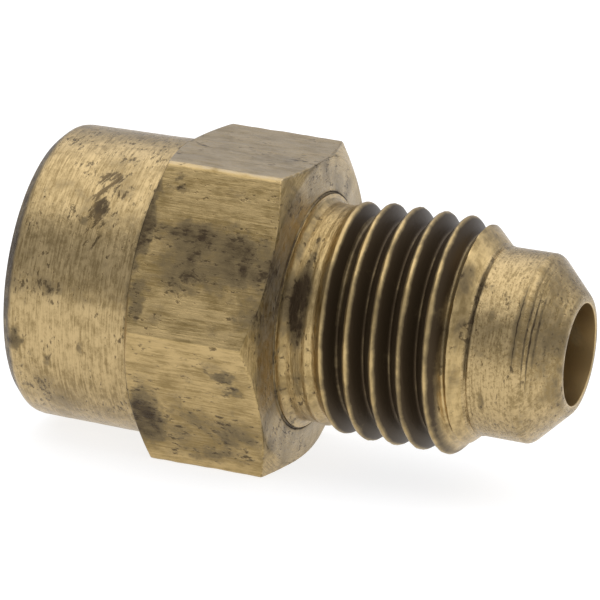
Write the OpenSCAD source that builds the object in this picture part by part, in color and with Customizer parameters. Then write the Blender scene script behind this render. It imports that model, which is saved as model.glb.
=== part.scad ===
// Brass flare fitting: a 45-degree flare end with an outside straight thread,
// a wrench hex, and a round socket with an inside pipe port.
//
// The bore axis is X. The origin is the centre of the pipe end's face and the
// flare nose points along +X. +Z is square to a wrench flat, so the fitting
// lies on the opposite flat. Stations along the axis are measured from the
// pipe face. Every piece is one turned length of the same bar, and each meets
// the next on a flat plane square to the axis. Sizes are in millimetres.

/* [Pipe socket] */
// Length of the round socket, from the pipe face to the hex
socket_len = 6.3; // [5:0.1:9]
// Socket diameter where it meets the hex
socket_root_d = 13.95; // [13:0.05:14.2]
// Socket diameter at the pipe face, a little smaller
socket_face_d = 13.75; // [12.6:0.05:14]
// Size of the 45-degree chamfer on the socket's outer end edge
socket_chamfer = 0.55; // [0.2:0.05:0.8]

/* [Pipe port] */
// Bore of the pipe port, the tapping size of a 1/8-27 pipe thread
port_d = 8.61; // [8.4:0.01:8.8]
// Depth of the pipe port's straight wall, from the pipe face
port_depth = 10.2; // [8:0.1:10.6]
// Diameter of the port's countersunk mouth
port_mouth_d = 10.1; // [9.2:0.1:11]
// Half angle of the countersink
port_mouth_angle = 60; // [45:5:70]

/* [Wrench hex] */
// Distance across the flats, 9/16 inch
hex_af = 14.29; // [14.25:0.01:14.6]
// Length of the hex, along the flats' middles
hex_len = 6.58; // [5:0.1:9]
// Angle of the bevels on the hex corners, from square
hex_bevel = 25; // [15:1:35]
// Diameter of the front face's outer edge
hex_rim_d = 14.25; // [13.6:0.05:14.25]
// Height of the front face's slight cone
face_rise = 0.17; // [0.05:0.01:0.4]

/* [Neck] */
// Diameter of the shoulder at the foot of the front face
shoulder_d = 10.96; // [10.6:0.02:11.2]
// Width of that shoulder
shoulder_w = 0.08; // [0.04:0.01:0.2]
// Radius of the fillet from the shoulder down to the neck
neck_fillet = 0.38; // [0.2:0.01:0.5]
// Diameter of the plain neck before the thread
neck_d = 10.2; // [9.8:0.05:10.5]
// Length of the neck, from the front face to the thread's first rise
neck_len = 1.1; // [0.8:0.05:3]

/* [Flare thread] */
// Diameter over the thread's crests, 7/16 inch nominal
thread_d = 11.04; // [10.9:0.01:11.11]
// Thread pitch, 20 threads to the inch
pitch = 1.27; // [1.27:0.01:1.3]
// Length of the thread, from the neck to the end of its lead-in
thread_len = 7.55; // [6:0.05:9]
// Diameter over the first crest, which is not yet full
first_crest_d = 10.76; // [10.4:0.02:11]
// Length over which the thread rises from the neck to its first crest
rise_len = 0.7; // [0.5:0.1:2]
// Length over which the crests then rise to full height
full_len = 1.1; // [0.8:0.1:2]
// Length over which the grooves deepen
groove_fade = 1; // [0.5:0.1:2]
// Length of the tapered lead-in at the nose end
lead_len = 1.12; // [0.8:0.02:1.6]

/* [Nose] */
// Diameter of the thread's lead-in where it ends
lead_end_d = 9; // [8.9:0.05:9.4]
// Diameter of the plain nose behind the seat
nose_d = 8.82; // [8.6:0.02:8.86]
// Diameter of the plain nose's narrow end, next to the thread
nose_waist_d = 8.78; // [8.6:0.02:8.82]
// Length of the plain nose
nose_len = 2.5; // [1.5:0.1:4]
// Length of the fillet between the lead-in and the plain nose
nose_fillet = 0.35; // [0.2:0.05:0.6]
// Angle of the flare seat from the axis
seat_angle = 45; // [37:1:45]
// Diameter at which the seat ends and the lip begins
lip_d = 5.74; // [5.7:0.02:6.4]
// Radius that rounds the lip into the end face
lip_r = 0.5; // [0.1:0.05:0.5]

/* [Waterway] */
// Diameter of the bore through the flare end, 3/16 inch
flow_d = 4.76; // [4:0.02:4.9]
// Half angle of the drilled cone at the bottom of the pipe port
drill_angle = 59; // [50:1:65]

/* [Hidden] */

brass = [0.71, 0.60, 0.37];
dull_brass = [0.60, 0.51, 0.33];
round_steps = 96;
arc_steps = 6;
thread_sides = 48;
rings_per_turn = 12;
// Turns from the start of the thread to its first crest, at +Y
crest_start = 0.29;
// How far along the thread the grooves begin
groove_start = 0.1;
// How far along the thread the crests begin to rise to full height
full_start = 1.05;

port_r = port_d / 2;
flow_r = flow_d / 2;
port_mouth_r = port_mouth_d / 2;
port_mouth_len = (port_mouth_r - port_r) / tan(port_mouth_angle);
drill_end = port_depth + (port_r - flow_r) / tan(drill_angle);

hex_x = socket_len;
face_x = hex_x + hex_len;
neck_x = face_x + face_rise;
thread_x = neck_x + neck_len;
nose_x = thread_x + thread_len;
seat_x = nose_x + nose_len;
lip_x = seat_x + (nose_d - lip_d) / 2 / tan(seat_angle);
end_x = lip_x + lip_r * (1 - sin(seat_angle));

socket_root_r = socket_root_d / 2;
socket_face_r = socket_face_d / 2;
hex_corner_r = hex_af / 2 / cos(30);
clear_r = hex_corner_r + 0.2;
rim_r = hex_rim_d / 2;
shoulder_r = shoulder_d / 2;
neck_r = neck_d / 2;
crest_r = thread_d / 2;
first_crest_r = first_crest_d / 2;
groove_depth = 0.613 * pitch;
crest_half = pitch / 16;
flank_slope = 1 / tan(30);
lead_end_r = lead_end_d / 2;
nose_r = nose_d / 2;
nose_waist_r = nose_waist_d / 2;
lip_face_r = lip_d / 2 - lip_r * cos(seat_angle);

// Points of an arc about (cx, cy), from angle a0 to a1
function arc(cx, cy, r, a0, a1) = [
    for (i = [0 : arc_steps])
        let (a = a0 + (a1 - a0) * i / arc_steps)
        [cx + r * cos(a), cy + r * sin(a)]
];

// Smooth step from 0 to 1 as t goes from 0 to 1
function smooth(t) = let (c = max(0, min(1, t))) c * c * (3 - 2 * c);

// Turns an outline of [station, radius] points about the X axis
module turned(outline) {
    rotate([0, 90, 0])
        rotate_extrude($fn = round_steps)
            polygon([for (p = outline) [p[1], p[0]]]);
}

// Round socket that the pipe screws into
module pipe_socket() {
    color(brass)
        turned([
            [0, port_mouth_r],
            [0, socket_face_r - socket_chamfer],
            [socket_chamfer, socket_face_r],
            [hex_x, socket_root_r],
            [hex_x, port_r],
            [port_mouth_len, port_r]
        ]);
}

// Hex bar with bevelled corners, bored from both ends
module wrench_hex() {
    rear_run = (clear_r - socket_root_r) * tan(hex_bevel);
    front_run = (clear_r - rim_r) * tan(hex_bevel);
    color(dull_brass)
        intersection() {
            translate([hex_x, 0, 0])
                rotate([0, 90, 0])
                    rotate([0, 0, 30])
                        cylinder(r = hex_corner_r, h = neck_x - hex_x, $fn = 6);
            turned([
                [hex_x, socket_root_r],
                [hex_x + rear_run, clear_r],
                [face_x - front_run, clear_r],
                [face_x, rim_r],
                [neck_x, shoulder_r],
                [neck_x, flow_r],
                [drill_end, flow_r],
                [port_depth, port_r],
                [hex_x, port_r]
            ]);
        }
}

// Plain neck between the hex and the thread
module thread_neck() {
    fillet_x = neck_x + shoulder_w + neck_fillet;
    color(brass)
        turned(concat(
            [[neck_x, flow_r], [neck_x, shoulder_r]],
            arc(fillet_x, shoulder_r, neck_fillet, 180, 270),
            [[thread_x, neck_r], [thread_x, flow_r]]
        ));
}

// Distance along the axis from the nearest crest, at station x and angle a
function crest_offset(x, a) =
    let (turns = (x - thread_x) / pitch - a / 360 - crest_start)
    pitch * abs(turns - round(turns));

// Depth below the crest of a 60-degree groove with a narrow flat root
function groove(offset) =
    min(max(0, offset - crest_half) * flank_slope, groove_depth);

// Radius over the crests at station x, as they rise from the neck
function rising_r(x) =
    neck_r
    + (first_crest_r - neck_r) * smooth((x - thread_x) / rise_len)
    + (crest_r - first_crest_r) * smooth((x - thread_x - full_start) / full_len);

// Radius of the tapered lead-in at station x
function falling_r(x) =
    lead_end_r + (crest_r - lead_end_r) * (nose_x - x) / lead_len;

// Radius of the finished thread at station x and angle a
function thread_r(x, a) =
    let (fade = smooth((x - thread_x - groove_start) / groove_fade))
    min(rising_r(x) - groove(crest_offset(x, a)) * fade, falling_r(x));

// Outside thread for the flare nut, right-handed, with the bore through it
module flare_thread() {
    rings = ceil(thread_len / pitch * rings_per_turn);
    points = [
        for (i = [0 : rings])
            let (x = thread_x + thread_len * i / rings)
            for (j = [0 : thread_sides - 1])
                let (a = 360 * j / thread_sides, r = thread_r(x, a))
                [x, r * cos(a), r * sin(a)]
    ];
    skin = [
        for (i = [0 : rings - 1])
            for (j = [0 : thread_sides - 1])
                let (
                    here = i * thread_sides + j,
                    side = i * thread_sides + (j + 1) % thread_sides
                )
                each [
                    [here, here + thread_sides, side + thread_sides],
                    [here, side + thread_sides, side]
                ]
    ];
    first_end = [for (j = [0 : thread_sides - 1]) j];
    last_end = [
        for (j = [thread_sides - 1 : -1 : 0])
            rings * thread_sides + j
    ];
    color(dull_brass)
        difference() {
            polyhedron(points, concat(skin, [first_end, last_end]));
            translate([thread_x - 1, 0, 0])
                rotate([0, 90, 0])
                    cylinder(r = flow_r, h = thread_len + 2, $fn = round_steps);
        }
}

// Plain round nose between the thread and the seat
module nose_pilot() {
    color(brass)
        turned(concat(
            [[nose_x, flow_r]],
            [
                for (i = [0 : arc_steps])
                    let (t = i / arc_steps, rise = lead_end_r - nose_waist_r)
                    [nose_x + nose_fillet * t, nose_waist_r + rise * pow(1 - t, 2)]
            ],
            [[seat_x, nose_r], [seat_x, flow_r]]
        ));
}

// Conical seat for the flared tube, ending in a rounded lip
module flare_seat() {
    color(brass)
        turned(concat(
            [[seat_x, flow_r], [seat_x, nose_r]],
            arc(end_x - lip_r, lip_face_r, lip_r, 90 - seat_angle, 0),
            [[end_x, flow_r]]
        ));
}

pipe_socket();
wrench_hex();
thread_neck();
flare_thread();
nose_pilot();
flare_seat();
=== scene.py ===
import math

import bpy
import numpy as np
from mathutils import Matrix, Vector, noise


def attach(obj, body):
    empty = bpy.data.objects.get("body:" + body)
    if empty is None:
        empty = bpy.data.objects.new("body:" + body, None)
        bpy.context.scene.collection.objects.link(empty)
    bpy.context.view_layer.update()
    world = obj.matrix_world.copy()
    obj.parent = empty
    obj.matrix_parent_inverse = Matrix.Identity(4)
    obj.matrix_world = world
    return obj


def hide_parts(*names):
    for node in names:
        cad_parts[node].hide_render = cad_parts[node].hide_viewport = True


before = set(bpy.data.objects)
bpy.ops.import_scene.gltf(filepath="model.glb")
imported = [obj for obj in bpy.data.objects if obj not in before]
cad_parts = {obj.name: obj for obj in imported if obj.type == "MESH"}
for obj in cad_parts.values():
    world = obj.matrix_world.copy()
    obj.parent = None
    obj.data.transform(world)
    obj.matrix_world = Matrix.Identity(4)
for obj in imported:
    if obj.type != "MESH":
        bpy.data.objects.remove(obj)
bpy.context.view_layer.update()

# Sizes are in millimetres, in the part's own frame: X runs along the bore from
# the pipe face, and +Z is square to a flat. Angles go from +Y towards +Z.
MM = 0.001

# Pipe socket
SOCKET_LEN = 6.3
SOCKET_ROOT_R = 6.975
SOCKET_FACE_R = 6.875
SOCKET_CHAMFER = 0.55

# Pipe port, with its inside taper thread of 27 threads to the inch
PORT_R = 4.305
PORT_DEPTH = 10.2
PORT_MOUTH_R = 5.05
PORT_MOUTH_SLOPE = math.tan(math.radians(60))
PIPE_PITCH = 25.4 / 27
PIPE_CREST_R = 4.37
PIPE_ROOT_R = 5.12
PIPE_TAPER = 1 / 32
PIPE_FADE = (6.4, 8.0)

# Wrench hex
HALF_FLATS = 7.145
HEX_END = 12.88
BEVEL_RUN = math.tan(math.radians(25))
RIM_R = 7.125
NECK_X = 13.05
# Rounding of each corner of the hex, by its angle
CORNER_R = {0: 0.25, 60: 0.3, 120: 0.4, 180: 0.2, 240: 0.28, 300: 0.3}

# Shoulder and neck
SHOULDER_R = 5.48
SHOULDER_W = 0.08
NECK_FILLET = 0.38
NECK_R = 5.1
THREAD_X = 14.15

# Flare thread, 20 threads to the inch
PITCH = 1.27
CREST_R = 5.52
GROOVE_DEPTH = 0.613 * PITCH
CREST_FLAT = 0.09
CREST_ROUND = 0.22
ROOT_ROUND = 0.1
CREST_START = 0.29
FLANK_SLOPE = 1 / math.tan(math.radians(30))
FIRST_CREST_R = 5.38
RISE_LEN = 0.7
FULL_START = 1.05
FULL_LEN = 1.1
GROOVE_START = 0.1
GROOVE_FADE = 1.0
LEAD_LEN = 1.12
LEAD_END_R = 4.5
NOSE_X = 21.7

# Nose and seat
NOSE_WAIST_R = 4.39
NOSE_R = 4.41
NOSE_FILLET = 0.35
SEAT_X = 24.2
BROW_ROUND = 0.14
BROW_DROP = 0.04
LIP_X = 25.74
LIP_R = 2.87
LIP_ROUND = 0.5
END_X = 25.886
FLOW_R = 2.38
DRILL_END = 11.357

# Fine tool rings: station, half width and depth
SOCKET_RINGS = [(5.98, 0.03, 0.025), (6.12, 0.05, -0.02), (0.75, 0.04, 0.012)]
NOSE_RINGS = [
    (21.84, 0.05, 0.085), (21.97, 0.04, -0.035), (22.05, 0.03, 0.012),
    (22.6, 0.02, 0.008), (23.9, 0.03, 0.015),
]
SEAT_RINGS = [
    (24.42, 0.02, 0.018), (24.6, 0.02, 0.02), (25.1, 0.03, 0.012), (25.55, 0.03, 0.015),
]

# Points round each piece, and the sharpest edge that is shaded smooth
SOCKET_SIDES = 300
THREAD_SIDES = 216
TURNED_SIDES = 240
SMOOTH_ANGLE = math.radians(35)

# Floor, in metres
FLOOR_HALF = 3.0
FLOOR_GAP = 0.00002

# Light over the fitting: place, target, width and depth in metres, and power in watts
TOP_LIGHT = ((0.013, 0.14, 0.42), (0.013, 0.14, 0), (1.0, 0.82), 2.9)
SKY = (0.96, 0.98, 1.06, 1)
SKY_STRENGTH = 0.6

# Camera, in millimetres
CAMERA_AT = (92.878, -231.698, 72.113)
CAMERA_RIGHT = (0.93582, 0.34621, 0.06613)
CAMERA_UP = (-0.15712, 0.24182, 0.95752)
CAMERA_BACK = (0.31551, -0.90646, 0.28070)
LENS = 330.93
SENSOR_WIDTH = 36


def smooth(t):
    """Smooth step from 0 to 1."""
    t = np.clip(t, 0, 1)
    return t * t * (3 - 2 * t)


def soft_max(a, b, k):
    """The larger of a and b, with the change rounded over k."""
    return 0.5 * (a + b + np.sqrt((a - b) ** 2 + k * k))


def soft_min(a, b, k):
    """The smaller of a and b, with the change rounded over k."""
    return -soft_max(-a, -b, k)


def round_angles(count):
    """Evenly spaced angles in radians."""
    return np.arange(count) * 2 * math.pi / count


def grain(x, angle, r, scale, seed):
    """Smooth noise from -1 to 1 on the surface, one value a vertex."""
    flat = np.stack([x, r * np.cos(angle), r * np.sin(angle)], -1).reshape(-1, 3) * scale
    shift = Vector((seed * 7.3, seed * 3.1, seed * 5.7))
    values = [noise.noise(Vector(p) + shift) for p in flat]
    return np.array(values).reshape(x.shape)


def stack(columns, count):
    """Outline points as an array of stations and one of radii, points by angles."""
    xs = np.array([np.broadcast_to(c[0], (count,)) for c in columns], float)
    rs = np.array([np.broadcast_to(c[1], (count,)) for c in columns], float)
    return xs, rs


def rounded(before, corner, after, size, steps=5):
    """Points of a small curve in place of a corner."""
    ends = (before, corner, after)
    before, corner, after = (np.stack(np.broadcast_arrays(*p), -1) for p in ends)
    before, corner, after = np.broadcast_arrays(before, corner, after)
    back, ahead = before - corner, after - corner
    back_len = np.linalg.norm(back, axis=-1, keepdims=True)
    ahead_len = np.linalg.norm(ahead, axis=-1, keepdims=True)
    cut = np.minimum(size, 0.45 * np.minimum(back_len, ahead_len))
    start = corner + back / back_len * cut
    end = corner + ahead / ahead_len * cut
    points = []
    for t in np.linspace(0, 1, steps + 1):
        p = (1 - t) ** 2 * start + 2 * t * (1 - t) * corner + t * t * end
        points.append((p[..., 0], p[..., 1]))
    return points


def along(start, end, steps):
    """Points between two outline points, without the ends."""
    points = []
    for t in np.arange(1, steps) / steps:
        points.append((start[0] + (end[0] - start[0]) * t, start[1] + (end[1] - start[1]) * t))
    return points


def ring_piece(name, node, material, xs, rs, angles):
    """One closed ring-shaped piece, from its outline at each angle, in place of a CAD node."""
    rows, count = xs.shape
    wide = np.broadcast_to(angles, xs.shape)
    points = np.stack([xs, rs * np.cos(wide), rs * np.sin(wide)], -1).reshape(-1, 3) * MM
    i, j = np.meshgrid(np.arange(rows), np.arange(count), indexing="ij")
    i2, j2 = (i + 1) % rows, (j + 1) % count
    corners = [i * count + j, i * count + j2, i2 * count + j2, i2 * count + j]
    faces = np.stack(corners, -1).reshape(-1, 4)
    mesh = bpy.data.meshes.new(name)
    mesh.from_pydata(points.tolist(), [], faces.tolist())
    mesh.shade_smooth()
    mesh.set_sharp_from_angle(angle=SMOOTH_ANGLE)
    mesh.materials.append(material)
    piece = bpy.data.objects.new(name, mesh)
    bpy.context.scene.collection.objects.link(piece)
    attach(piece, "root")
    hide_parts(node)


# ---------------------------------------------------------------- shapes

def pipe_wall(x, angle):
    """Radius of the pipe port's wall, with its taper thread."""
    crest = np.maximum(PORT_R, PIPE_CREST_R - x * PIPE_TAPER)
    fade = 1 - smooth((x - PIPE_FADE[0]) / (PIPE_FADE[1] - PIPE_FADE[0]))
    root = crest + (PIPE_ROOT_R - x * PIPE_TAPER - crest) * fade
    turns = x / PIPE_PITCH - angle / (2 * math.pi)
    offset = PIPE_PITCH * np.abs(turns - np.round(turns))
    groove = root - np.maximum(0, offset - PIPE_PITCH / 30) * FLANK_SLOPE
    wall = soft_max(crest, groove, 0.04)
    return np.maximum(wall, PORT_MOUTH_R - x * PORT_MOUTH_SLOPE)


def hex_radius(angle):
    """Radius of the hex with rounded corners, at each angle."""
    degrees = np.degrees(angle) % 360
    corner = (np.round(degrees / 60) * 60) % 360
    off = np.radians((degrees - corner + 180) % 360 - 180)
    flat = HALF_FLATS / np.cos(math.radians(30) - np.abs(off))
    size = np.array([CORNER_R[int(c)] for c in corner])
    centre = (HALF_FLATS - size) / math.cos(math.radians(30))
    inside = np.maximum(size ** 2 - (centre * np.sin(off)) ** 2, 0)
    arc = centre * np.cos(off) + np.sqrt(inside)
    tangent = np.arctan2((HALF_FLATS - size) * math.tan(math.radians(30)), HALF_FLATS)
    rounded_part = np.abs(off) < math.radians(30) - tangent
    return np.where(rounded_part, arc, flat)


def hex_angles():
    """Angles round the hex, close together at its corners."""
    near = [0, 0.2, 0.4, 0.6, 0.8, 1, 1.2, 1.4, 1.65, 1.9, 2.2, 2.6, 3.2, 4, 5, 6.5]
    offsets = near + list(np.arange(8, 30, 1.57))
    side = sorted({round(s * o, 3) for o in offsets for s in (-1, 1)})
    return np.radians(sorted((c + o) % 360 for c in CORNER_R for o in side))


def make_socket(material):
    """Round socket with its threaded port."""
    angles = round_angles(SOCKET_SIDES)
    count = len(angles)
    face = (0, SOCKET_FACE_R - SOCKET_CHAMFER)
    brow = (SOCKET_CHAMFER, SOCKET_FACE_R)
    root = (SOCKET_LEN, SOCKET_ROOT_R)
    mouth = pipe_wall(np.zeros(count), angles)
    outline = rounded((0, mouth), face, brow, 0.12)
    outline += along(face, brow, 5)[1:3]
    outline += rounded(face, brow, root, 0.25)
    outline += along(brow, root, 60)[2:]
    outline += [root]
    outer = len(outline)
    stations = np.linspace(SOCKET_LEN, 0, 110)
    outline += [(x, pipe_wall(np.full(count, x), angles)) for x in stations]
    xs, rs = stack(outline, count)
    wide = np.broadcast_to(angles, xs.shape)
    skin = np.arange(len(outline))[:, None] < outer
    fade = 1 - smooth((xs - 5.6) / 0.7)
    wear = 0.012 * grain(xs, wide, rs, 0.8, 1) + 0.008 * grain(xs, wide, rs, 3.0, 2)
    rs = rs + np.where(skin, wear * fade + tool_rings(xs, angles, rs, SOCKET_RINGS), 0)
    ring_piece("PipeSocket", "pipe_socket", material, xs, rs, angles)


def make_hex(material):
    """Hex with bevelled corners, its ringed front face and the bores inside."""
    angles = hex_angles()
    count = len(angles)
    size = hex_radius(angles)
    root = (SOCKET_LEN, SOCKET_ROOT_R)
    rear = (SOCKET_LEN + (size - SOCKET_ROOT_R) * BEVEL_RUN, size)
    front = (HEX_END - (size - RIM_R) * BEVEL_RUN, size)
    rim = (HEX_END, RIM_R)
    slope = (NECK_X - HEX_END) / (RIM_R - SHOULDER_R)
    ring = (HEX_END + (RIM_R - 6.35) * slope - 0.04, 6.35)
    lip_out = (NECK_X - 0.02, 5.6)
    trench = (NECK_X - 0.07, 5.565)
    lip_in = (NECK_X + 0.03, 5.5)
    foot = (NECK_X, SHOULDER_R)
    outline = [root]
    outline += along(root, rear, 8)
    outline += rounded(root, rear, front, 0.07)
    outline += along(rear, front, 56)[1:-1]
    outline += rounded(rear, front, rim, 0.09)
    outline += along(front, rim, 10)[1:-1]
    outline += rounded(front, rim, ring, 0.12)
    outline += along(rim, ring, 8)[1:-1]
    outline += rounded(rim, ring, lip_out, 0.06)
    outline += along(ring, lip_out, 8)[1:-1]
    outline += rounded(ring, lip_out, trench, 0.03)
    outline += [trench]
    outline += rounded(trench, lip_in, foot, 0.02)
    outline += [foot]
    outer = len(outline)
    outline += [(NECK_X, FLOW_R), (DRILL_END, FLOW_R), (PORT_DEPTH, PORT_R)]
    stations = np.linspace(PORT_DEPTH, SOCKET_LEN, 66)[1:]
    outline += [(x, pipe_wall(np.full(count, x), angles)) for x in stations]
    xs, rs = stack(outline, count)
    wide = np.broadcast_to(angles, xs.shape)
    skin = np.arange(len(outline))[:, None] < outer
    edge = smooth((rs - 7.75) / 0.4)
    ends = smooth((xs - SOCKET_LEN) / 0.3) * smooth((HEX_END - xs) / 0.3)
    wear = edge * (0.025 * grain(xs, wide, rs, 1.6, 3) - 0.015) + 0.01 * grain(xs, wide, rs, 0.5, 4)
    rs = rs + np.where(skin, wear * ends, 0)
    ring_piece("WrenchHex", "wrench_hex", material, xs, rs, angles)


def make_neck(material):
    """Plain neck with the fillet at its foot."""
    angles = round_angles(TURNED_SIDES)
    count = len(angles)
    outline = [(NECK_X, FLOW_R), (NECK_X, SHOULDER_R), (NECK_X + SHOULDER_W, SHOULDER_R)]
    centre = NECK_X + SHOULDER_W + NECK_FILLET
    for t in np.linspace(0.05, 1, 12):
        a = math.pi * (1 + 0.5 * t)
        outline.append((centre + NECK_FILLET * math.cos(a), SHOULDER_R + NECK_FILLET * math.sin(a)))
    outline += along((centre, NECK_R), (THREAD_X, NECK_R), 10)
    outline += [(THREAD_X, NECK_R), (THREAD_X, FLOW_R)]
    xs, rs = stack(outline, count)
    ring_piece("ThreadNeck", "thread_neck", material, xs, rs, angles)


def thread_radius(x, angle):
    """Radius of the outside thread, with its run-out at both ends."""
    run = x - THREAD_X
    rising = NECK_R + (FIRST_CREST_R - NECK_R) * smooth(run / RISE_LEN)
    rising = rising + (CREST_R - FIRST_CREST_R) * smooth((run - FULL_START) / FULL_LEN)
    falling = LEAD_END_R + (CREST_R - LEAD_END_R) * (NOSE_X - x) / LEAD_LEN
    turns = run / PITCH - angle / (2 * math.pi) - CREST_START
    offset = PITCH * np.abs(turns - np.round(turns))
    top = soft_max(-CREST_FLAT * FLANK_SLOPE, 0, CREST_ROUND)
    groove = soft_max((offset - CREST_FLAT) * FLANK_SLOPE, 0, CREST_ROUND) - top
    groove = soft_min(groove, GROOVE_DEPTH, ROOT_ROUND)
    fade = smooth((run - GROOVE_START) / GROOVE_FADE)
    return np.minimum(rising - groove * fade, soft_min(rising, falling, 0.05))


def make_thread(material):
    """Outside thread for the flare nut."""
    angles = round_angles(THREAD_SIDES)
    count = len(angles)
    stations = np.linspace(THREAD_X, NOSE_X, 234)
    outline = [(x, thread_radius(np.full(count, x), angles)) for x in stations]
    outer = len(outline)
    outline += [(NOSE_X, FLOW_R), (THREAD_X, FLOW_R)]
    xs, rs = stack(outline, count)
    rs[0] = NECK_R
    rs[outer - 1] = LEAD_END_R
    wide = np.broadcast_to(angles, xs.shape)
    skin = np.arange(len(outline))[:, None] < outer
    tops = smooth((rs - 5.3) / 0.2)
    wear = tops * (0.02 * grain(xs, wide, rs, 2.5, 5) + 0.015 * grain(xs, wide, rs, 7.0, 6) - 0.01)
    rs = rs + np.where(skin, wear, 0)
    ring_piece("FlareThread", "flare_thread", material, xs, rs, angles)


def tool_rings(xs, angles, rs, rings):
    """Change of radius for fine tool rings, uneven round the axis."""
    total = np.zeros(xs.shape)
    for station, half, depth in rings:
        wide = np.broadcast_to(angles, xs.shape)
        wander = 0.015 * grain(xs * 0 + station, wide, rs, 0.5, station)
        uneven = 0.75 + 0.6 * grain(xs * 0, wide, rs, 0.7, station + 1)
        total -= depth * uneven * np.exp(-(((xs - station - wander) / half) ** 2))
    return total


def make_nose(material):
    """Plain nose between the thread and the seat."""
    angles = round_angles(TURNED_SIDES)
    count = len(angles)
    outline = [(NOSE_X, FLOW_R)]
    for t in np.linspace(0, 1, 14):
        flare = (LEAD_END_R - NOSE_WAIST_R) * (1 - t) ** 2
        outline.append((NOSE_X + NOSE_FILLET * t, NOSE_WAIST_R + flare))
    waist = (NOSE_X + NOSE_FILLET, NOSE_WAIST_R)
    brow = (SEAT_X - BROW_ROUND, NOSE_R)
    outline += along(waist, brow, 60)
    outline += [brow, (SEAT_X - BROW_ROUND / 2, NOSE_R - BROW_DROP / 4)]
    outer = len(outline)
    outline += [(SEAT_X, NOSE_R - BROW_DROP), (SEAT_X, FLOW_R)]
    xs, rs = stack(outline, count)
    row = np.arange(len(outline))[:, None]
    skin = (row > 1) & (row < outer)
    rs = rs + np.where(skin, tool_rings(xs, angles, rs, NOSE_RINGS), 0)
    ring_piece("NosePilot", "nose_pilot", material, xs, rs, angles)


def make_seat(material):
    """Conical flare seat with its rounded lip."""
    angles = round_angles(TURNED_SIDES)
    count = len(angles)
    brow = (SEAT_X, NOSE_R - BROW_DROP)
    cone = (SEAT_X + BROW_ROUND, NOSE_R - BROW_ROUND)
    outline = [(SEAT_X, FLOW_R), brow, (SEAT_X + BROW_ROUND / 2, NOSE_R - BROW_DROP * 2)]
    outline += [cone] + along(cone, (LIP_X, LIP_R), 60)
    outer = len(outline)
    centre_x = END_X - LIP_ROUND
    centre_r = LIP_R - LIP_ROUND * math.sin(math.radians(45))
    for a in np.radians(np.linspace(45, 0, 9)):
        outline.append((centre_x + LIP_ROUND * math.cos(a), centre_r + LIP_ROUND * math.sin(a)))
    outline += rounded((END_X, centre_r), (END_X, FLOW_R), (SEAT_X, FLOW_R), 0.05)
    xs, rs = stack(outline, count)
    row = np.arange(len(outline))[:, None]
    skin = (row > 2) & (row < outer)
    rs = rs + np.where(skin, tool_rings(xs, angles, rs, SEAT_RINGS), 0)
    ring_piece("FlareCone", "flare_seat", material, xs, rs, angles)


# ------------------------------------------------------------- materials

def link(tree, value, socket):
    """Puts a number, colour or another node's output into a socket."""
    if isinstance(value, bpy.types.NodeSocket):
        tree.links.new(value, socket)
    else:
        socket.default_value = value


def maths(tree, kind, a, b=0.0):
    """One arithmetic step."""
    node = tree.nodes.new("ShaderNodeMath")
    node.operation = kind
    link(tree, a, node.inputs[0])
    link(tree, b, node.inputs[1])
    return node.outputs[0]


def step(tree, value, low, high):
    """0 below low, 1 above high, smooth between."""
    node = tree.nodes.new("ShaderNodeMapRange")
    node.interpolation_type = "SMOOTHSTEP"
    link(tree, value, node.inputs["Value"])
    node.inputs["From Min"].default_value = low
    node.inputs["From Max"].default_value = high
    return node.outputs["Result"]


def mixed(tree, amount, a, b):
    """Colour a turning into colour b."""
    node = tree.nodes.new("ShaderNodeMix")
    node.data_type = "RGBA"
    link(tree, amount, node.inputs[0])
    link(tree, a, node.inputs[6])
    link(tree, b, node.inputs[7])
    return node.outputs[2]


def vector(tree, x, y, z):
    """A vector from three values."""
    node = tree.nodes.new("ShaderNodeCombineXYZ")
    for value, socket in zip((x, y, z), node.inputs):
        link(tree, value, socket)
    return node.outputs[0]


def cloud(tree, place, scale, detail=3.0, rough=0.5, warp=0.0):
    """Noise from 0 to 1."""
    node = tree.nodes.new("ShaderNodeTexNoise")
    link(tree, place, node.inputs["Vector"])
    node.inputs["Scale"].default_value = scale
    node.inputs["Detail"].default_value = detail
    node.inputs["Roughness"].default_value = rough
    node.inputs["Distortion"].default_value = warp
    return node.outputs["Fac"]


def part_space(tree):
    """Place in millimetres, its three values, and its distance and direction from the axis."""
    coord = tree.nodes.new("ShaderNodeTexCoord")
    scale = tree.nodes.new("ShaderNodeVectorMath")
    scale.operation = "SCALE"
    link(tree, coord.outputs["Object"], scale.inputs[0])
    scale.inputs["Scale"].default_value = 1 / MM
    split = tree.nodes.new("ShaderNodeSeparateXYZ")
    link(tree, scale.outputs[0], split.inputs[0])
    x, y, z = split.outputs
    squares = maths(tree, "ADD", maths(tree, "MULTIPLY", y, y), maths(tree, "MULTIPLY", z, z))
    r = maths(tree, "SQRT", squares)
    return {
        "place": scale.outputs[0], "x": x, "y": y, "z": z, "r": r,
        "cos": maths(tree, "DIVIDE", y, r), "sin": maths(tree, "DIVIDE", z, r),
    }


# Brass tones, a brighter and a duller one for each section
PALE = (0.50, 0.37, 0.185, 1)
DULL = (0.25, 0.178, 0.08, 1)
GOLD_PALE = (0.50, 0.362, 0.165, 1)
GOLD_DULL = (0.26, 0.182, 0.072, 1)
NECK_PALE = (0.56, 0.41, 0.192, 1)
NECK_DULL = (0.29, 0.205, 0.088, 1)
# Thin patina, thick patina, and the grey used for hazing and for painted sky reflection
OLIVE = (0.165, 0.123, 0.063, 1)
BROWN = (0.046, 0.030, 0.016, 1)
HAZE_AND_SHEEN = (0.37, 0.315, 0.235, 1)
# Depth of the fine relief, in metres
BUMP_DEPTH = 0.00003
# Values of fine lines, flecks and mottling where the metal is left smooth
CALM = (0.5, 0.35, 0.5)
SMOOTH_BORE = (0.5, 0.35, 0.7)
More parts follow.
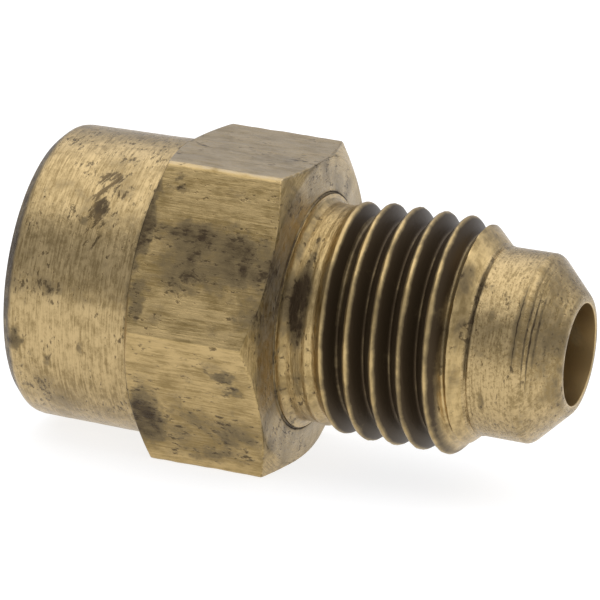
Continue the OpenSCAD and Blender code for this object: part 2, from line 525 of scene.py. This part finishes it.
# Radii between which the bore's edge ends, and the front face's hazing and its painted shade in the
# crease at the neck's foot begin
BORE_EDGE = (2.46, 2.4)
FACE_HAZE = (5.64, 5.74)
FACE_CREASE_SHADE = (5.66, 5.58)


def spots(tree, place, marks):
    """Sum of soft spots.

    Each mark is station, angle, radius, half length, half width and strength.
    """
    total = 0.0
    for station, angle, radius, length, width, strength in marks:
        turn = math.radians(angle)
        shift = tree.nodes.new("ShaderNodeVectorMath")
        shift.operation = "SUBTRACT"
        link(tree, place, shift.inputs[0])
        shift.inputs[1].default_value = (station, radius * math.cos(turn), radius * math.sin(turn))
        shrink = tree.nodes.new("ShaderNodeVectorMath")
        shrink.operation = "DIVIDE"
        link(tree, shift.outputs[0], shrink.inputs[0])
        shrink.inputs[1].default_value = (length, width, width)
        far = tree.nodes.new("ShaderNodeVectorMath")
        far.operation = "LENGTH"
        link(tree, shrink.outputs[0], far.inputs[0])
        near = step(tree, far.outputs["Value"], 1.15, 0.35)
        total = maths(tree, "ADD", total, maths(tree, "MULTIPLY", near, strength))
    return total


def ragged(tree, place, scale, reach):
    """The place moved about by noise, so that what is drawn there has ragged edges."""
    node = tree.nodes.new("ShaderNodeTexNoise")
    link(tree, place, node.inputs["Vector"])
    node.inputs["Scale"].default_value = scale
    node.inputs["Detail"].default_value = 4.0
    centre = tree.nodes.new("ShaderNodeVectorMath")
    centre.operation = "SUBTRACT"
    link(tree, node.outputs["Color"], centre.inputs[0])
    centre.inputs[1].default_value = (0.5, 0.5, 0.5)
    shift = tree.nodes.new("ShaderNodeVectorMath")
    shift.operation = "MULTIPLY_ADD"
    link(tree, centre.outputs[0], shift.inputs[0])
    shift.inputs[1].default_value = (reach, reach, reach)
    link(tree, place, shift.inputs[2])
    return shift.outputs[0]


def around(value, weight, tree):
    """A 0 to 1 value, centred on 0 and weighted."""
    return maths(tree, "MULTIPLY", maths(tree, "SUBTRACT", value, 0.5), weight)


def scoring(tree, space, marks):
    """Slanting dark strokes about a place on the socket."""
    rise = maths(tree, "MULTIPLY", maths(tree, "ADD", space["y"], space["z"]), 0.7)
    slant = maths(tree, "SUBTRACT", space["x"], maths(tree, "MULTIPLY", rise, 0.45))
    strokes = stretched(tree, (slant, rise, 0.0), (3.4, 1.1, 1.0), 4.0, 0.6)
    edges = maths(tree, "ADD", strokes, spots(tree, space["place"], marks))
    return step(tree, edges, 0.74, 0.84)


def brass(
    name, lines, marks, dirt=None, rubbed=None, patina=0.57, rough=0.3,
    tones=(PALE, DULL), torn=1.3, haze_and_sheen=None, scored=(),
):
    """Aged brass: streaks and grain, then films of patina, a grey cover of hazing and painted
    sheen, flecks and pits.

    dirt, rubbed and haze give extra film, clean metal and that grey cover over the piece; on the
    hex the grey is hazing on the front face and a painted sky reflection on the upper flat.
    """
    material = bpy.data.materials.new(name)
    material.use_nodes = True
    tree = material.node_tree
    shader = tree.nodes["Principled BSDF"]
    space = part_space(tree)
    place = space["place"]
    fine, flecks, mottle = lines(tree, space)
    blotch = cloud(tree, place, 0.5, 7.0, 0.66, 0.5)
    cluster = cloud(tree, place, 0.8, 2.0, 0.5)

    body = maths(tree, "ADD", around(mottle, 2.3, tree), around(fine, 2.0, tree))
    body = maths(tree, "ADD", body, around(cluster, 0.9, tree))
    body = maths(tree, "ADD", body, 0.55)
    film = maths(tree, "ADD", blotch, around(fine, 0.25, tree))
    film = maths(tree, "ADD", film, around(mottle, 0.4, tree))
    # Spots from the marks: stains, plus a few marks of painted highlight and painted shade that
    # stand in for light.
    stains_and_painted_light = spots(tree, ragged(tree, place, 1.9, torn), marks)
    body = maths(tree, "SUBTRACT", body, maths(tree, "MULTIPLY", stains_and_painted_light, 1.2))
    film = maths(tree, "ADD", film, stains_and_painted_light)
    if dirt:
        film = maths(tree, "ADD", film, dirt(tree, space))
    if rubbed:
        clean = rubbed(tree, space)
        film = maths(tree, "SUBTRACT", film, maths(tree, "MULTIPLY", clean, 0.22))
        body = maths(tree, "ADD", body, maths(tree, "MULTIPLY", clean, 0.35))
    speck = maths(tree, "ADD", flecks, around(cluster, 0.45, tree))
    speck = step(tree, maths(tree, "ADD", speck, around(film, 0.25, tree)), 0.6, 0.74)
    if scored:
        speck = maths(tree, "MAXIMUM", speck, scoring(tree, space, scored))
    thin = step(tree, film, patina - 0.04, patina + 0.22)
    thick = step(tree, film, patina + 0.16, patina + 0.46)

    tone = mixed(tree, step(tree, body, 0.0, 1.0), tones[1], tones[0])
    tone = mixed(tree, maths(tree, "MULTIPLY", thin, 0.85), tone, OLIVE)
    tone = mixed(tree, maths(tree, "MULTIPLY", thick, 0.92), tone, BROWN)
    # Grey cover: hazing, and on the hex also a painted sky reflection on the upper flat.
    if haze_and_sheen:
        cover = maths(tree, "MULTIPLY", haze_and_sheen(tree, space), step(tree, mottle, 0.3, 0.65))
        tone = mixed(tree, cover, tone, HAZE_AND_SHEEN)
    tone = mixed(tree, maths(tree, "MULTIPLY", speck, 0.75), tone, BROWN)
    link(tree, tone, shader.inputs["Base Color"])

    metal = maths(tree, "SUBTRACT", 1.0, maths(tree, "MULTIPLY", thin, 0.3))
    link(tree, metal, shader.inputs["Metallic"])
    shader.inputs["Specular IOR Level"].default_value = 0.2
    spread = maths(tree, "ADD", rough, maths(tree, "MULTIPLY", thin, 0.12))
    spread = maths(tree, "ADD", spread, around(mottle, 0.25, tree))
    link(tree, spread, shader.inputs["Roughness"])

    height = maths(tree, "ADD", around(fine, 0.6, tree), around(mottle, 0.6, tree))
    height = maths(tree, "SUBTRACT", height, maths(tree, "MULTIPLY", speck, 0.5))
    bump = tree.nodes.new("ShaderNodeBump")
    bump.inputs["Strength"].default_value = 1.0
    bump.inputs["Distance"].default_value = BUMP_DEPTH
    link(tree, height, bump.inputs["Height"])
    link(tree, bump.outputs[0], shader.inputs["Normal"])
    return material


def blend(tree, amount, a, b):
    """A value going from a to b."""
    return maths(tree, "ADD", a, maths(tree, "MULTIPLY", amount, maths(tree, "SUBTRACT", b, a)))


def stretched(tree, parts, scales, detail, rough):
    """Noise with its own scale along each of three values."""
    scaled = [maths(tree, "MULTIPLY", p, s) for p, s in zip(parts, scales)]
    return cloud(tree, vector(tree, *scaled), 1.0, detail, rough)


def turned_lines(tree, space, grit=1.0):
    """Fine lathe lines, flecks and mottling, all drawn out round the axis."""
    reach = maths(tree, "ADD", space["x"], maths(tree, "MULTIPLY", space["r"], 1.6))
    fine = stretched(tree, (reach, space["cos"], space["sin"]), (12.0, 5.0, 5.0), 3.0, 0.65)
    along = (reach, space["y"], space["z"])
    flecks = stretched(tree, along, (6.5, 3.0, 3.0), 4.0, 0.6)
    return fine, flecks, stretched(tree, along, (3.6 * grit, 2.4 * grit, 2.4 * grit), 6.0, 0.74)


def drawn_lines(tree, space):
    """Fine lines, flecks and mottling, all drawn out along the bar."""
    along = (space["x"], space["y"], space["z"])
    fine = stretched(tree, along, (0.5, 9.0, 9.0), 5.0, 0.7)
    flecks = stretched(tree, along, (2.6, 5.4, 5.4), 4.0, 0.6)
    return fine, flecks, stretched(tree, along, (0.9, 2.2, 2.2), 7.0, 0.76)


def hex_lines(tree, space):
    """Lines along the bar on the flats, and round the axis on the bevel and front face."""
    cone = maths(tree, "ADD", space["x"], maths(tree, "MULTIPLY", space["r"], BEVEL_RUN))
    tip = HEX_END + RIM_R * BEVEL_RUN
    bevel = step(tree, cone, tip - 0.06, tip - 0.02)
    turned = maths(tree, "MAXIMUM", bevel, step(tree, space["x"], HEX_END - 0.04, HEX_END + 0.02))
    pairs = zip(drawn_lines(tree, space), turned_lines(tree, space))
    return [blend(tree, turned, a, b) for a, b in pairs]


def threaded(tree, space):
    """1 past the first crest of the thread, 0 before it."""
    back = [maths(tree, "MULTIPLY", space[k], -1.0) for k in ("sin", "cos")]
    turn = maths(tree, "MULTIPLY", maths(tree, "ARCTAN2", *back), PITCH / (2 * math.pi))
    crest = THREAD_X + PITCH * (CREST_START + 0.5)
    return step(tree, maths(tree, "SUBTRACT", space["x"], turn), crest - 0.3, crest + 0.05)


def thread_lines(tree, space):
    """Turned lines, calm in the grooves."""
    calm = maths(tree, "MULTIPLY", step(tree, space["x"], 20.9, 20.5), threaded(tree, space))
    fine, flecks, mottle = turned_lines(tree, space)
    lead_in = maths(tree, "MULTIPLY", step(tree, space["x"], 20.0, 21.0), 0.15)
    calm = maths(tree, "MAXIMUM", maths(tree, "MULTIPLY", calm, 0.9), lead_in)
    rest = (maths(tree, "MULTIPLY", calm, 0.6), calm, calm)
    return [blend(tree, w, a, b) for w, a, b in zip(rest, (fine, flecks, mottle), CALM)]


def nose_lines(tree, space):
    """Turned lines with a finer mottling, smooth inside the bore."""
    fine, flecks, mottle = turned_lines(tree, space, 2.0)
    bore = step(tree, space["r"], *BORE_EDGE)
    mottle = blend(tree, -0.5, mottle, 0.5)
    return [blend(tree, bore, a, b) for a, b in zip((fine, flecks, mottle), SMOOTH_BORE)]


def socket_brass():
    """Turned socket: scratched near the hex, stained at the pipe end."""
    marks = [
        (4.1, 132, 6.9, 1.4, 3.2, 0.08),
        (4.1, 137, 6.9, 0.4, 0.6, 0.26),
        (3.5, 143, 6.9, 0.4, 0.4, 0.2),
        (0.8, 194, 6.9, 0.5, 0.9, 0.4),
        (3.2, 160, 6.9, 4.0, 2.4, 0.05),
        (2.3, 214, 6.9, 2.0, 1.8, 0.06),
        # Painted highlight: a broad pale patch low on the front of the socket, standing in for the
        # floor's reflection.
        (3.0, 192, 6.9, 3.0, 2.5, -0.14),
        (4.1, 193, 6.9, 0.3, 0.5, 0.28),
        (2.4, 201, 6.9, 0.3, 0.5, 0.22),
        (3.2, 170, 6.9, 2.2, 0.7, 0.1),
        (3.8, 226, 6.9, 2.4, 0.9, 0.12),
        (3.4, 300, 6.9, 1.6, 1.5, 0.12),
        (2.0, 30, 6.9, 1.2, 1.8, 0.12),
    ]

    def ends(tree, space):
        """Film on the end chamfer, and in the corner at the hex."""
        rim = maths(tree, "MULTIPLY", step(tree, space["x"], 0.62, 0.35), 0.4)
        corner = step(tree, space["x"], SOCKET_LEN - 0.2, SOCKET_LEN)
        return maths(tree, "ADD", rim, maths(tree, "MULTIPLY", corner, 0.12))

    scored = [
        (4.1, 127, 6.9, 0.9, 2.2, 0.26),
        (4.1, 148, 6.9, 0.8, 1.6, 0.22),
        (3.6, 138, 6.9, 0.7, 1.0, 0.1),
    ]
    return brass("SocketBrass", turned_lines, marks, ends, torn=0.9, scored=scored)


def hex_brass():
    """Drawn hex: rubbed corners, patina on the flats and in the front bevel, painted shade dimming
    the highlight along the upper front corner and in the crease at the neck's foot, and a painted
    sky reflection on the upper flat.
    """
    marks = [
        (10.0, 151, 7.2, 3.6, 2.3, 0.3),
        (11.2, 145, 7.2, 1.1, 1.0, 0.12),
        (8.6, 141, 7.2, 1.3, 0.7, 0.14),
        (6.4, 140, 7.2, 0.6, 3.6, 0.32),
        (6.9, 170, 7.4, 0.6, 1.4, 0.3),
        (12.3, 168, 7.4, 0.8, 1.2, 0.22),
        (12.4, 145, 7.2, 0.4, 2.4, 0.1),
        (7.8, 127, 7.7, 0.7, 0.35, 0.22),
        (9.1, 129, 7.6, 0.9, 0.3, 0.16),
        (9.8, 170, 7.4, 1.7, 0.9, -0.14),
        (9.3, 132, 7.4, 3.0, 0.9, -0.1),
        (11.2, 192, 7.3, 0.8, 0.5, 0.26),
        (11.8, 199, 7.2, 0.5, 0.4, 0.24),
        (7.0, 221, 7.3, 1.1, 2.2, 0.34),
        (9.8, 222, 7.5, 3.8, 2.2, 0.17),
        (9.5, 187, 7.7, 3.6, 1.0, -0.08),
        (10.9, 98, 7.2, 1.5, 1.0, 0.16),
        (12.1, 76, 7.3, 0.7, 0.7, 0.1),
        (8.5, 285, 7.2, 2.2, 2.0, 0.1),
        (10.5, 20, 7.2, 2.0, 1.8, 0.12),
        (13.0, 160, 6.6, 0.6, 4.6, 0.11),
        # Painted shade: a faint dark strip along the upper front corner, dimming that corner's
        # highlight.
        (9.5, 124, 8.0, 3.4, 0.7, 0.04),
        (12.6, 123, 7.6, 0.5, 1.6, 0.1),
    ]

    def face_film_and_crease_shade(tree, space):
        """Film over the front face, and painted shade in the crease at the neck's foot."""
        front = step(tree, space["x"], 12.7, 12.9)
        # Painted shade: extra dark film in the crease where the front face meets the neck.
        ring = maths(tree, "MULTIPLY", step(tree, space["r"], *FACE_CREASE_SHADE), 0.2)
        return maths(tree, "MULTIPLY", front, maths(tree, "ADD", ring, 0.1))

    def corners(tree, space):
        """Rubbed metal on the hex's corners."""
        return maths(tree, "MULTIPLY", step(tree, space["r"], 7.85, 8.15), 0.6)

    def haze_and_sheen(tree, space):
        """Grey hazing on the front face, and a painted sky reflection on the upper flat, the flat
        that faces up.
        """
        # Painted sky reflection: grey laid on the upper flat only, because that flat faces up.
        upper = maths(tree, "MULTIPLY", step(tree, space["z"], 7.0, 7.1), 0.65)
        ahead = step(tree, space["x"], HEX_END - 0.04, HEX_END + 0.04)
        front = maths(tree, "MULTIPLY", ahead, step(tree, space["r"], *FACE_HAZE))
        front = maths(tree, "MULTIPLY", front, 0.55)
        return maths(tree, "MAXIMUM", upper, front)

    tones = (GOLD_PALE, GOLD_DULL)
    return brass("HexBrass", hex_lines, marks, face_film_and_crease_shade, corners, 0.56, 0.34, tones, haze_and_sheen=haze_and_sheen)


# Stains on the neck that run on into the start of the thread
NECK_MARKS = [
    (13.95, 161, 5.15, 0.55, 2.2, 0.52),
    (13.4, 162, 5.25, 0.5, 1.9, 0.26),
    (13.95, 196, 5.15, 0.36, 2.2, 0.17),
    (13.3, 200, 5.3, 0.3, 2.6, 0.1),
    (13.95, 130, 5.1, 0.25, 1.2, 0.16),
    (13.35, 120, 5.3, 0.22, 2.4, 0.18),
    (13.8, 300, 5.1, 0.5, 2.5, 0.15),
]


def neck_brass():
    """Turned neck with one dark stain and brown bands."""
    tones = (NECK_PALE, NECK_DULL)
    return brass("NeckBrass", turned_lines, NECK_MARKS, rough=0.33, tones=tones, torn=0.25)


def thread_brass():
    """Thread with dark grooves and rubbed crests."""
    marks = [
        (14.62, 178, 5.3, 0.07, 0.09, 0.3),
        (14.51, 199, 5.3, 0.07, 0.1, 0.3),
        (14.57, 149, 5.3, 0.08, 0.1, 0.3),
        (21.2, 132, 4.9, 0.4, 1.4, 0.22),
        (20.9, 160, 5.1, 0.2, 3.0, 0.12),
        (21.5, 160, 4.7, 0.35, 1.4, 0.16),
        (20.9, 200, 5.1, 0.4, 1.5, -0.1),
    ]

    def grooves(tree, space):
        """Film in the grooves, thinner in the lead-in and at the very root."""
        full_x = THREAD_X + FULL_START
        full = step(tree, space["x"], full_x, full_x + FULL_LEN)
        growth = maths(tree, "MULTIPLY", full, CREST_R - FIRST_CREST_R)
        crest = maths(tree, "ADD", FIRST_CREST_R, growth)
        deep = step(tree, maths(tree, "SUBTRACT", crest, space["r"]), -0.05, 0.22)
        body = step(tree, space["x"], 21.0, 20.4)
        inside = maths(tree, "MULTIPLY", body, threaded(tree, space))
        root = maths(tree, "MULTIPLY", step(tree, space["r"], 4.8, 4.75), 0.2)
        film = maths(tree, "SUBTRACT", maths(tree, "MULTIPLY", deep, 0.64), root)
        return maths(tree, "MULTIPLY", inside, film)

    tones = (NECK_PALE, NECK_DULL)
    marks = NECK_MARKS + marks
    return brass("ThreadBrass", thread_lines, marks, grooves, rough=0.33, tones=tones, torn=0.25)


def nose_brass():
    """Turned nose with dark tool lines at both ends."""
    marks = [
        (21.86, 127, 4.5, 0.16, 2.6, 0.3),
        (21.86, 165, 4.45, 0.16, 2.6, 0.26),
        (22.8, 163, 4.4, 1.6, 1.5, 0.09),
        (22.7, 148, 4.4, 0.25, 0.4, 0.16),
        (22.6, 203, 4.4, 0.2, 0.9, 0.26),
        (24.0, 150, 4.4, 0.24, 3.2, 0.18),
        (23.2, 145, 4.4, 0.9, 0.6, -0.08),
        (22.7, 107, 4.4, 0.9, 0.9, -0.08),
        (24.0, 154, 4.4, 0.04, 2.6, 0.26),
        (22.9, 192, 4.4, 1.5, 1.5, -0.12),
        (23.2, 20, 4.4, 1.0, 1.2, 0.15),
    ]
    return brass("NoseBrass", nose_lines, marks, torn=0.14)


def seat_brass():
    """Turned seat with tool lines, film round the lip, and a cleaner bore."""
    marks = [
        (24.3, 150, 4.3, 0.16, 3.4, 0.12),
        (24.42, 152, 4.2, 0.05, 3.2, 0.3),
        (24.6, 156, 4.0, 0.05, 3.0, 0.34),
        (24.8, 150, 3.8, 0.06, 2.2, 0.2),
        (25.1, 150, 3.6, 0.9, 3.0, 0.16),
        (25.0, 100, 3.7, 0.8, 2.0, 0.05),
        (25.5, 205, 3.0, 0.5, 1.2, 0.14),
        (25.4, 60, 3.2, 0.8, 2.0, 0.1),
    ]

    def lip(tree, space):
        """Film round the lip, and none inside the bore."""
        outside = maths(tree, "MULTIPLY", step(tree, space["r"], 3.1, 2.8), 0.12)
        bore = maths(tree, "MULTIPLY", step(tree, space["r"], *BORE_EDGE), 0.22)
        return maths(tree, "SUBTRACT", outside, bore)

    return brass("ConeBrass", nose_lines, marks, lip, torn=0.1)


# ------------------------------------------------- floor, lights, camera

def make_floor():
    """Pale floor under the flat that the fitting lies on."""
    material = bpy.data.materials.new("PaleFloor")
    material.use_nodes = True
    shader = material.node_tree.nodes["Principled BSDF"]
    shader.inputs["Base Color"].default_value = (0.35, 0.35, 0.35, 1)
    shader.inputs["Roughness"].default_value = 0.9
    shader.inputs["Specular IOR Level"].default_value = 0.1
    shader.inputs["Emission Color"].default_value = (1, 1, 1, 1)
    shader.inputs["Emission Strength"].default_value = 0.8
    half, z = FLOOR_HALF, -HALF_FLATS * MM - FLOOR_GAP
    corners = [(-half, -half, z), (half, -half, z), (half, half, z), (-half, half, z)]
    mesh = bpy.data.meshes.new("Floor")
    mesh.from_pydata(corners, [], [(0, 1, 2, 3)])
    mesh.materials.append(material)
    floor = bpy.data.objects.new("Floor", mesh)
    bpy.context.scene.collection.objects.link(floor)


def make_area(name, at, target, size, watts):
    """A soft rectangular light."""
    data = bpy.data.lights.new(name, "AREA")
    data.shape = "RECTANGLE"
    data.size, data.size_y = size
    data.energy = watts
    light = bpy.data.objects.new(name, data)
    light.location = at
    light.rotation_mode = "QUATERNION"
    light.rotation_quaternion = (Vector(target) - Vector(at)).to_track_quat("-Z", "Y")
    bpy.context.scene.collection.objects.link(light)


def make_lights():
    """Pale sky and one large soft light."""
    world = bpy.data.worlds.new("Studio")
    bpy.context.scene.world = world
    world.use_nodes = True
    back = world.node_tree.nodes["Background"]
    back.inputs["Color"].default_value = SKY
    back.inputs["Strength"].default_value = SKY_STRENGTH
    make_area("TopLight", *TOP_LIGHT)


def make_camera():
    """Camera at the photo's viewing angle."""
    data = bpy.data.cameras.new("Camera")
    data.lens = LENS
    data.sensor_width = SENSOR_WIDTH
    data.clip_start, data.clip_end = 0.01, 20
    camera = bpy.data.objects.new("Camera", data)
    turn = Matrix((CAMERA_RIGHT, CAMERA_UP, CAMERA_BACK)).transposed().to_4x4()
    camera.matrix_world = Matrix.Translation(Vector(CAMERA_AT) * MM) @ turn
    bpy.context.scene.collection.objects.link(camera)
    bpy.context.scene.camera = camera


make_camera()
make_lights()
make_floor()
make_socket(socket_brass())
make_hex(hex_brass())
make_neck(neck_brass())
make_thread(thread_brass())
make_nose(nose_brass())
make_seat(seat_brass())

bpy.context.scene.view_settings.view_transform = "Standard"
